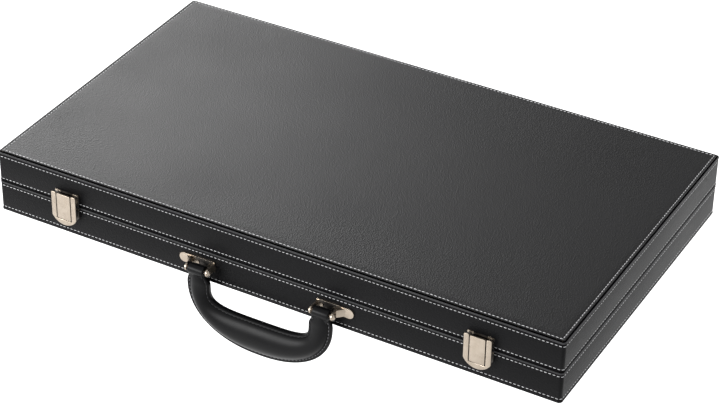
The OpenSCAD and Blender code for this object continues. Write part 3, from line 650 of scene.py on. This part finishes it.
def handle_loop(side):
    """The strap's end, rolled round the pin, with a neck that narrows down into the grip."""
    s = -1 if side == "left" else 1
    outline = []
    for a in LOOP_TURN:
        outline.append((LOOP_R * math.cos(math.radians(a)), LOOP_R * math.sin(math.radians(a)), 1.0))
    outline += [(-y, z, narrow) for y, z, narrow in NECK]
    outline += reversed(NECK)
    ends = []
    for k in range(LOOP_EDGE_STEPS + 1):
        a = math.radians(90 * k / LOOP_EDGE_STEPS)
        ends.append((LOOP_W / 2 - LOOP_EDGE_R * (1 - math.cos(a)), LOOP_EDGE_R * (1 - math.sin(a))))
    slices = [(-x, sunk) for x, sunk in ends] + [(x, sunk) for x, sunk in reversed(ends)]
    rings = []
    for x, sunk in slices:
        ring = []
        for y, z, narrow in outline:
            v = Vector((y, z))
            v -= v.normalized() * sunk
            ring.append((s * LOOP_X + x * narrow, PIN.y + v.x, PIN.z + v.y))
        rings.append(ring)
    piece = handle_piece(f"handle_{side}_rolled_loop", rings)
    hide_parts("handle_loop_" + side)


def handle_stitches(edge, material):
    """Rows of stitches along one sewn edge, on the front and on the back of the handle."""
    path = []
    for inner, outer, thick in handle_stations(SEAM_STEPS)[SHOULDER_STEPS // 2:-SHOULDER_STEPS // 2]:
        width = (outer - inner).length
        u = SEWN_AT * lip_width(width, edge) / width
        lift = grip_half_thickness(u * width, width, thick, edge) - STITCH_SINK
        p = inner.lerp(outer, u if edge == "inner" else 1 - u)
        path.append(Vector((p.x, lift, p.y)))
    places, travelled, wanted = [], 0.0, STITCH_START
    for a, b in zip(path, path[1:]):
        step = (b - a).length
        while step > 0 and wanted < travelled + step:
            p = a.lerp(b, (wanted - travelled) / step)
            along = Vector((b.x - a.x, 0, b.z - a.z)).normalized()
            for face in (-1, 1):
                centre = Vector((p.x, PIN.y + face * p.y, PIN.z + p.z))
                places.append((centre, along, Vector((0, face, 0))))
            wanted += STITCH_PITCH
        travelled += step
    sew(f"handle_{edge}_stitches", places, material, "handle", HANDLE_STITCH)


# The metal parts

STRIKE_TIP = 1.5
STRIKE_BAR_T = 0.7
STRIKE_BAR_H = 1.6
STRIKE_BAR_GAP = 0.1
STRIKE_BAR_SUNK = 0.12


def handle_bracket(side):
    """A bracket of bright nickel, with its plate between the ears painted dark as shade behind the strap's
    roll.
    """
    x = -LOOP_X if side == "left" else LOOP_X
    piece = bevelled("handle_bracket_" + side, EDGE_ROUNDING["bracket"], NICKEL, segments=3)
    for end in (-LOOP_W / 2, LOOP_W / 2):
        split(piece, Vector((x + end, 0, 0)), Vector((1, 0, 0)))
    # The plate's face between the ears is painted dark as shade.
    repaint(piece, PAINTED_SHADE_NICKEL, lambda c, n: abs(c.x - x) < LOOP_W / 2 and n.y < -0.9)


def latch(side):
    """A bright cover and tongue in front of a plate and strike painted dark as shade below their bright
    tips.
    """
    bevelled("latch_cover_" + side, EDGE_ROUNDING["cover"], NICKEL, segments=3)
    bevelled("latch_tongue_" + side, EDGE_ROUNDING["tongue"], NICKEL, segments=3)
    for node in ("latch_strike_", "latch_plate_"):
        piece = bevelled(node + side, EDGE_ROUNDING["plate"], NICKEL)
        tip = cad_box(node + side)[1].z - STRIKE_TIP
        split(piece, Vector((0, 0, tip)), Vector((0, 0, 1)))
        # Below the bright tip the metal is painted dark as shade.
        repaint(piece, PAINTED_SHADE_NICKEL, lambda c, n: c.z < tip)
    strike_bar(side)


def strike_bar(side):
    """The thin web that joins the two tips of a strike, above the hook of the tongue."""
    (left, _, _), (right, _, _) = cad_box("latch_tongue_" + side)
    wall, top = cad_box("latch_strike_" + side)[1].yz
    corners = []
    for x in (left, right):
        for y in (wall - STRIKE_BAR_GAP, wall - STRIKE_BAR_T):
            for z in (top - STRIKE_BAR_H, top - STRIKE_BAR_SUNK):
                corners.append((x, y, z))
    faces = [(0, 1, 3, 2), (4, 6, 7, 5), (0, 4, 5, 1), (2, 3, 7, 6), (0, 2, 6, 4), (1, 5, 7, 3)]
    # The web is made in the nickel painted dark as shade.
    make_piece(f"latch_strike_bar_{side}", corners, faces, PAINTED_SHADE_NICKEL, "lid", BAR_SMOOTH)


# The playing pieces

PIPS = {
    1: [(0, 0)],
    2: [(-1, -1), (1, 1)],
    3: [(-1, -1), (0, 0), (1, 1)],
    4: [(-1, -1), (-1, 1), (1, -1), (1, 1)],
    5: [(-1, -1), (-1, 1), (1, -1), (1, 1), (0, 0)],
    6: [(-1, -1), (-1, 0), (-1, 1), (1, -1), (1, 0), (1, 1)],
}
CUBE_SIDES = [
    (Vector((0, 0, 1)), Vector((1, 0, 0))),
    (Vector((1, 0, 0)), Vector((0, 1, 0))),
    (Vector((0, 1, 0)), Vector((0, 0, 1))),
    (Vector((0, -1, 0)), Vector((1, 0, 0))),
    (Vector((-1, 0, 0)), Vector((0, 0, 1))),
    (Vector((0, 0, -1)), Vector((0, 1, 0))),
]
DICE_ORDERS = ((1, 2, 3, 4, 5, 6), (5, 3, 1, 6, 4, 2), (6, 2, 4, 3, 5, 1), (4, 6, 2, 5, 1, 3))
CUBE_NUMBERS = (64, 2, 4, 8, 16, 32)
PIP_R = 1.05
PIP_SIDES = 14
PIP_SPREAD = 0.27
PIP_RINGS = ((1.0, -0.05), (0.95, 0.04), (0.6, 0.07))
NUMERAL_SIZE = 0.62
NUMERAL_T = 0.06
CUP_WALL = 2.6
CUP_FLOOR = 1
CUP_RIM = 0.2


def pip(centre, out, across):
    """A low round spot on a die."""
    other = out.cross(across)
    rings = []
    for share, h in PIP_RINGS:
        ring = []
        for j in range(PIP_SIDES):
            a = 2 * math.pi * j / PIP_SIDES
            ring.append(centre + (across * math.cos(a) + other * math.sin(a)) * (PIP_R * share) + out * h)
        rings.append(ring)
    return flat(rings), skin_between(rings, closed_rows=True) + end_caps(rings)[1:]


def dice_pips():
    """The spots of the four dice. Opposite sides of a die add up to seven."""
    lo, hi = cad_box("dice")
    edge = hi.x - lo.x
    verts, faces = [], []
    quarters = [(y, z) for y in (0.25, 0.75) for z in (0.25, 0.75)]
    for (y, z), order in zip(quarters, DICE_ORDERS):
        centre = Vector(((lo.x + hi.x) / 2, lo.y + (hi.y - lo.y) * y, lo.z + (hi.z - lo.z) * z))
        for (out, across), number in zip(CUBE_SIDES, order):
            other = out.cross(across)
            for u, v in PIPS[number]:
                spread = PIP_SPREAD * edge
                at = centre + out * (edge / 2) + across * (u * spread) + other * (v * spread)
                gather(verts, faces, *pip(at, out, across))
    make_piece("dice_pips", verts, faces, PIP_INK, "base")


def cube_numerals():
    """The doubling cube's powers of two, one on each side."""
    lo, hi = cad_box("doubling_cube")
    centre, edge = (lo + hi) / 2, hi.x - lo.x
    for number, (out, across) in zip(CUBE_NUMBERS, CUBE_SIDES):
        curve = bpy.data.curves.new(f"cube_numeral_{number}", "FONT")
        curve.body = str(number)
        curve.align_x = "CENTER"
        curve.align_y = "CENTER"
        curve.size = edge * NUMERAL_SIZE * MM
        curve.extrude = NUMERAL_T * MM
        text = bpy.data.objects.new(f"cube_text_{number}", curve)
        scene.collection.objects.link(text)
        bpy.context.view_layer.update()
        depsgraph = bpy.context.evaluated_depsgraph_get()
        mesh = bpy.data.meshes.new_from_object(text.evaluated_get(depsgraph))
        bpy.data.objects.remove(text)
        pose = Matrix((across, out.cross(across), out)).transposed().to_4x4()
        pose.translation = (centre + out * (edge / 2)) * MM
        mesh.transform(pose)
        mesh.materials.clear()
        mesh.materials.append(PIP_INK)
        piece = bpy.data.objects.new(f"cube_numeral_{number}", mesh)
        scene.collection.objects.link(piece)
        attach(piece, "base")


def dice_cup(side):
    """A dice cup with bevelled rims, leather outside and felt in its bore."""
    piece = bevelled("dice_cup_" + side, EDGE_ROUNDING["cup"], CUP_LEATHER, segments=3)
    lo, hi = cad_box("dice_cup_" + side)
    axis, bore = (lo + hi) / 2, (hi.z - lo.z) / 2 - CUP_WALL

    def in_bore(c, _):
        """The wall and the floor of the bore."""
        inside = lo.x + CUP_FLOOR < c.x < hi.x - CUP_RIM
        return inside and math.hypot(c.y - axis.y, c.z - axis.z) < bore

    repaint(piece, CUP_FELT, in_bore)


# Materials

def new_material(name, colour, roughness, metallic=0.0, specular=0.5):
    """A principled material with plain values."""
    material = bpy.data.materials.new(name)
    material.use_nodes = True
    shader = material.node_tree.nodes["Principled BSDF"]
    shader.inputs["Base Color"].default_value = (*colour, 1)
    shader.inputs["Roughness"].default_value = roughness
    shader.inputs["Metallic"].default_value = metallic
    shader.inputs["Specular IOR Level"].default_value = specular
    return material


def add(material, kind, **inputs):
    """A node with some of its inputs set."""
    node = material.node_tree.nodes.new(kind)
    for key, value in inputs.items():
        node.inputs[key.replace("_", " ")].default_value = value
    return node


def link(material, source, target):
    """Joins one node's output to another's input."""
    material.node_tree.links.new(source, target)


def object_coordinates(material):
    """Coordinates that stay with the piece when it moves."""
    return add(material, "ShaderNodeTexCoord").outputs["Object"]


def noise(material, scale, detail=3.0, roughness=0.55):
    """Soft noise, from 0 to 1."""
    node = add(material, "ShaderNodeTexNoise", Scale=scale, Detail=detail, Roughness=roughness)
    link(material, object_coordinates(material), node.inputs["Vector"])
    return node.outputs["Fac"]


def cells(material, scale):
    """Distance to the nearest of many scattered points, which gives a pebbled grain."""
    node = add(material, "ShaderNodeTexVoronoi", Scale=scale)
    link(material, object_coordinates(material), node.inputs["Vector"])
    return node.outputs["Distance"]


def streaks(material, stretch, detail):
    """Noise that is finer along some axes than along others."""
    mapping = add(material, "ShaderNodeMapping", Scale=stretch)
    link(material, object_coordinates(material), mapping.inputs["Vector"])
    node = add(material, "ShaderNodeTexNoise", Scale=1.0, Detail=detail)
    link(material, mapping.outputs["Vector"], node.inputs["Vector"])
    return node.outputs["Fac"]


def ramp(material, value, stops):
    """A colour ramp over a value: pairs of a position and a colour."""
    node = material.node_tree.nodes.new("ShaderNodeValToRGB")
    elements = node.color_ramp.elements
    while len(elements) < len(stops):
        elements.new(0.5)
    for element, (position, colour) in zip(elements, stops):
        element.position = position
        element.color = (*colour, 1)
    link(material, value, node.inputs["Fac"])
    return node.outputs["Color"]


def between(material, value, low, high):
    """Maps a value from 0..1 to low..high."""
    node = add(material, "ShaderNodeMapRange", To_Min=low, To_Max=high)
    link(material, value, node.inputs["Value"])
    return node.outputs["Result"]


def weighted(material, a, b, weight):
    """One value plus a share of another."""
    node = material.node_tree.nodes.new("ShaderNodeMath")
    node.operation = "MULTIPLY_ADD"
    node.inputs[1].default_value = weight
    link(material, b, node.inputs[0])
    link(material, a, node.inputs[2])
    return node.outputs["Value"]


def surface(material, colour=None, roughness=None, height=None, depth=0.0, strength=1.0):
    """Feeds the shader's colour, roughness and bump."""
    shader = material.node_tree.nodes["Principled BSDF"]
    if colour:
        link(material, colour, shader.inputs["Base Color"])
    if roughness:
        link(material, roughness, shader.inputs["Roughness"])
    if height:
        bump = add(material, "ShaderNodeBump", Strength=strength, Distance=depth * MM)
        link(material, height, bump.inputs["Height"])
        link(material, bump.outputs["Normal"], shader.inputs["Normal"])
    return material


def leatherette(name, dark, pale):
    """Vinyl with a fine pebbled grain, a little paler in patches."""
    m = new_material(name, pale, 0.4, specular=0.08)
    pebbles = cells(m, 950.0)
    creases = noise(m, 420.0, 4.0)
    cloud = noise(m, 9.0, 2.0)
    colour = ramp(m, weighted(m, cloud, pebbles, 0.35), ((0.25, dark), (0.85, pale)))
    return surface(
        m, colour, between(m, weighted(m, cloud, creases, 0.25), 0.34, 0.50),
        weighted(m, pebbles, creases, 0.6), depth=0.18, strength=0.8,
    )


def fold_cloth():
    """Matt black painted shade for the grooves and folds beside welts and hems, where the case lies in
    shadow.
    """
    m = new_material("fold_cloth", (0.0015, 0.0015, 0.0017), 0.9, specular=0.02)
    weave = noise(m, 1500.0)
    colour = ramp(m, weave, ((0.3, (0.001, 0.001, 0.0012)), (0.8, (0.002, 0.002, 0.0023))))
    return surface(m, colour, between(m, weave, 0.8, 0.95), weave, depth=0.05)


def handle_leather():
    """Smooth black leather with a soft sheen and faint wrinkles."""
    m = new_material("handle_leather", (0.002, 0.002, 0.0023), 0.34, specular=0.12)
    grain = cells(m, 1500.0)
    wrinkles = noise(m, 190.0, 5.0)
    cloud = noise(m, 28.0, 2.0)
    colour = ramp(m, cloud, ((0.3, (0.0014, 0.0014, 0.0017)), (0.75, (0.0028, 0.0028, 0.0032))))
    return surface(
        m, colour, between(m, weighted(m, cloud, wrinkles, 0.4), 0.28, 0.42),
        weighted(m, wrinkles, grain, 0.4), depth=0.05, strength=0.5,
    )


def thread(name, dark, pale):
    """Twisted sewing thread."""
    m = new_material(name, pale, 0.7, specular=0.25)
    twist = add(m, "ShaderNodeTexWave", Scale=900.0, Distortion=2.0, Detail=1.0)
    link(m, object_coordinates(m), twist.inputs["Vector"])
    fuzz = noise(m, 900.0)
    colour = ramp(m, weighted(m, fuzz, twist.outputs["Fac"], 0.3), ((0.3, dark), (0.8, pale)))
    return surface(m, colour, between(m, fuzz, 0.6, 0.85), twist.outputs["Fac"], depth=0.05)


def nickel(name, dark, pale, smooth, rough):
    """Nickel plate with fine brushing and a few dull patches."""
    m = new_material(name, pale, smooth, metallic=1.0)
    brushed = streaks(m, (900.0, 900.0, 60.0), 3.0)
    cloud = noise(m, 160.0, 2.0)
    colour = ramp(m, cloud, ((0.3, dark), (0.75, pale)))
    return surface(
        m, colour, between(m, weighted(m, cloud, brushed, 0.6), smooth, rough),
        brushed, depth=0.01, strength=0.35,
    )


def spring_steel():
    """Bare steel wire."""
    m = new_material("spring_steel", (0.4, 0.4, 0.41), 0.32, metallic=1.0)
    cloud = noise(m, 700.0)
    colour = ramp(m, cloud, ((0.3, (0.33, 0.33, 0.34)), (0.8, (0.5, 0.5, 0.5))))
    return surface(m, colour, between(m, cloud, 0.25, 0.42), cloud, depth=0.01)


def plywood():
    """Pale wood with its grain along x."""
    m = new_material("plywood", (0.5, 0.36, 0.21), 0.6, specular=0.3)
    grain = streaks(m, (12.0, 160.0, 260.0), 5.0)
    colour = ramp(m, grain, ((0.3, (0.36, 0.24, 0.13)), (0.7, (0.62, 0.46, 0.28))))
    return surface(m, colour, between(m, grain, 0.5, 0.7), grain, depth=0.08)


def felt(name, dark, pale):
    """Short-napped cloth."""
    m = new_material(name, pale, 0.95, specular=0.1)
    m.node_tree.nodes["Principled BSDF"].inputs["Sheen Weight"].default_value = 0.25
    fibres = noise(m, 1700.0, 4.0, 0.7)
    nap = noise(m, 35.0, 3.0)
    colour = ramp(m, weighted(m, nap, fibres, 0.6), ((0.45, dark), (1.05, pale)))
    return surface(m, colour, None, fibres, depth=0.22, strength=0.8)


def point_leather(name, dark, pale):
    """Smooth dyed leatherette of the points."""
    m = new_material(name, pale, 0.5, specular=0.2)
    grain = cells(m, 1200.0)
    cloud = noise(m, 40.0, 3.0)
    colour = ramp(m, weighted(m, cloud, grain, 0.3), ((0.3, dark), (0.9, pale)))
    return surface(m, colour, between(m, cloud, 0.42, 0.58), grain, depth=0.07, strength=0.5)


def marbled(name, dark, pale, roughness):
    """Cast plastic with faint swirls."""
    m = new_material(name, pale, roughness, specular=0.5)
    swirl = add(m, "ShaderNodeTexNoise", Scale=70.0, Detail=4.0, Distortion=1.6)
    link(m, object_coordinates(m), swirl.inputs["Vector"])
    colour = ramp(m, swirl.outputs["Fac"], ((0.3, dark), (0.7, pale)))
    scuffs = noise(m, 500.0, 3.0)
    gloss = between(m, scuffs, roughness - 0.06, roughness + 0.1)
    return surface(m, colour, gloss, scuffs, depth=0.01, strength=0.3)


LEATHERETTE = leatherette("leatherette", (0.002, 0.002, 0.0023), (0.004, 0.004, 0.0045))
# A paler copy of the leatherette: a painted highlight for the edges that face up.
PAINTED_HIGHLIGHT_LEATHERETTE = leatherette("painted_highlight_leatherette", (0.022, 0.022, 0.023), (0.042, 0.042, 0.044))
# Matt black painted shade for grooves, creases and the seam's gap.
PAINTED_SHADE_BLACK = fold_cloth()
HANDLE_LEATHER = handle_leather()
THREAD = thread("thread", (0.34, 0.34, 0.35), (0.66, 0.66, 0.67))
DARK_THREAD = thread("dark_thread", (0.08, 0.08, 0.084), (0.22, 0.22, 0.23))
BLACK_THREAD = thread("black_thread", (0.02, 0.02, 0.021), (0.05, 0.05, 0.052))
NICKEL = nickel("nickel", (0.325, 0.275, 0.222), (0.4, 0.345, 0.285), 0.12, 0.36)
# A dark copy of the nickel, painted shade for metal behind the strap's roll and below the strike's tips.
PAINTED_SHADE_NICKEL = nickel("painted_shade_nickel", (0.05, 0.045, 0.042), (0.13, 0.12, 0.11), 0.3, 0.5)
SPRING = spring_steel()
WOOD = plywood()
FIELD_FELT = felt("field_felt", (0.008, 0.036, 0.019), (0.026, 0.092, 0.046))
BLACK_FELT = felt("black_felt", (0.008, 0.008, 0.009), (0.028, 0.028, 0.03))
CUP_FELT = felt("cup_felt", (0.10, 0.012, 0.014), (0.24, 0.03, 0.035))
CREAM = point_leather("cream_points", (0.42, 0.33, 0.2), (0.58, 0.48, 0.33))
RED = point_leather("red_points", (0.10, 0.010, 0.010), (0.19, 0.019, 0.02))
CUP_LEATHER = point_leather("cup_leather", (0.010, 0.009, 0.009), (0.024, 0.021, 0.02))
IVORY = marbled("ivory_checkers", (0.44, 0.35, 0.22), (0.6, 0.52, 0.38), 0.22)
MAROON = marbled("maroon_checkers", (0.05, 0.006, 0.007), (0.13, 0.014, 0.016), 0.2)
DICE_WHITE = marbled("dice_white", (0.52, 0.47, 0.38), (0.64, 0.6, 0.53), 0.2)
CUBE_WHITE = marbled("cube_white", (0.55, 0.54, 0.51), (0.68, 0.67, 0.64), 0.25)
PIP_INK = marbled("pip_ink", (0.01, 0.01, 0.011), (0.022, 0.022, 0.024), 0.35)
CORE_PLASTIC = marbled("core_plastic", (0.05, 0.05, 0.05), (0.08, 0.08, 0.08), 0.5)

CAD_MATERIALS = {
    "wood": WOOD, "field": FIELD_FELT, "points_light": CREAM, "points_dark": RED, "felt": BLACK_FELT,
    "divider": LEATHERETTE, "nickel": NICKEL, "spring_steel": SPRING, "handle_leather": HANDLE_LEATHER,
    "leatherette": LEATHERETTE, "core": CORE_PLASTIC, "checkers_light": IVORY, "checkers_dark": MAROON,
    "dice": DICE_WHITE, "cube": CUBE_WHITE, "cup": CUP_LEATHER,
}


def paint_cad_nodes():
    """Gives every CAD node the full material of its slot."""
    for part in frame["record"]["subparts"]:
        mesh = frame["nodes"][part["node"]].data
        mesh.materials.clear()
        mesh.materials.append(CAD_MATERIALS[part["material_slot"]])


# Putting it together

paint_cad_nodes()
for lid in (False, True):
    side_cover(lid)
    outer_panel(lid)
    side_rows(lid)
    panel_row(lid)
padded_grip()
handle_stitches("inner", BLACK_THREAD)
handle_stitches("outer", DARK_THREAD)
for side in ("left", "right"):
    handle_loop(side)
    dice_cup(side)
    latch(side)
    handle_bracket(side)
    bevelled("hinge_base_leaf_" + side, EDGE_ROUNDING["leaf"], NICKEL)
    bevelled("hinge_lid_leaf_" + side, EDGE_ROUNDING["leaf"], NICKEL)
bevelled("base_divider", EDGE_ROUNDING["divider"], LEATHERETTE, segments=4)
bevelled("lid_divider", EDGE_ROUNDING["divider"], LEATHERETTE, segments=4)
bevelled("checkers_light", EDGE_ROUNDING["checker"], IVORY, segments=3)
bevelled("checkers_dark", EDGE_ROUNDING["checker"], MAROON, segments=3)
bevelled("dice", EDGE_ROUNDING["die"], DICE_WHITE, segments=3)
bevelled("doubling_cube", EDGE_ROUNDING["cube"], CUBE_WHITE, segments=3)
dice_pips()
cube_numerals()


# Stage, lights and camera. The focal length and the image's width are in pixels.

CAMERA_FOCUS = 2398.1
IMAGE_W = 720
AZIMUTH, ELEVATION, ROLL = (math.radians(a) for a in (28.89, 33.85, 0.94))
DISTANCE = 1788.7
SHIFT_RIGHT, SHIFT_UP = 1.03, 6.88
SENSOR = 36.0
FAR_CLIP_M = 50
FLOOR_REACH_M = 9.0
FLOOR_LEVEL_M = -0.45

# Name, place, target, size and watts of each softbox
LIGHTS = (
    ("softbox_back_left", (-1780, 1590, 1190), (0, 0, 30), (1300, 1100), 88),
    ("softbox_back_right", (1170, 1670, 120), (100, 0, 30), (700, 600), 19),
    ("softbox_front_left", (-750, -1350, 420), (0, -100, 0), (800, 500), 22),
)


def set_camera():
    """The camera, which stands to the right of the front and looks down on the case."""
    back = Vector((
        math.sin(AZIMUTH) * math.cos(ELEVATION),
        -math.cos(AZIMUTH) * math.cos(ELEVATION),
        math.sin(ELEVATION),
    ))
    level = Vector((math.cos(AZIMUTH), math.sin(AZIMUTH), 0))
    rise = back.cross(level)
    right = level * math.cos(ROLL) + rise * math.sin(ROLL)
    up = rise * math.cos(ROLL) - level * math.sin(ROLL)
    data = bpy.data.cameras.new("camera")
    data.sensor_width = SENSOR
    data.lens = CAMERA_FOCUS * SENSOR / IMAGE_W
    data.clip_end = FAR_CLIP_M
    camera = bpy.data.objects.new("camera", data)
    scene.collection.objects.link(camera)
    pose = Matrix((right, up, back)).transposed().to_4x4()
    pose.translation = (back * DISTANCE + right * SHIFT_RIGHT + up * SHIFT_UP) * MM
    camera.matrix_world = pose
    scene.camera = camera


def area_light(name, place_mm, target_mm, size_mm, power):
    """A white rectangular softbox that faces its target."""
    data = bpy.data.lights.new(name, "AREA")
    data.shape = "RECTANGLE"
    data.size, data.size_y = (s * MM for s in size_mm)
    data.energy = power
    lamp = bpy.data.objects.new(name, data)
    scene.collection.objects.link(lamp)
    lamp.location = Vector(place_mm) * MM
    lamp.rotation_mode = "QUATERNION"
    lamp.rotation_quaternion = (Vector(target_mm) - Vector(place_mm)).to_track_quat("-Z", "Y")


def set_stage():
    """A pale floor and an even white surround."""
    floor_mesh = bpy.data.meshes.new("floor")
    reach, level = FLOOR_REACH_M, FLOOR_LEVEL_M
    floor_mesh.from_pydata(
        [(-reach, -reach, level), (reach, -reach, level), (reach, reach, level), (-reach, reach, level)],
        [], [(0, 1, 2, 3)],
    )
    floor = bpy.data.objects.new("floor", floor_mesh)
    scene.collection.objects.link(floor)
    paper = new_material("floor_paper", (0.8, 0.8, 0.8), 0.9, specular=0.1)
    fibres = noise(paper, 40.0)
    colour = ramp(paper, fibres, ((0.2, (0.78, 0.78, 0.78)), (0.8, (0.82, 0.82, 0.82))))
    surface(paper, colour)
    floor_mesh.materials.append(paper)
    world = bpy.data.worlds.new("studio")
    world.use_nodes = True
    background = world.node_tree.nodes["Background"]
    background.inputs["Color"].default_value = (1, 1, 1, 1)
    background.inputs["Strength"].default_value = 1.0
    scene.world = world
    scene.view_settings.view_transform = "Standard"


set_stage()
for light in LIGHTS:
    area_light(*light)
set_camera()
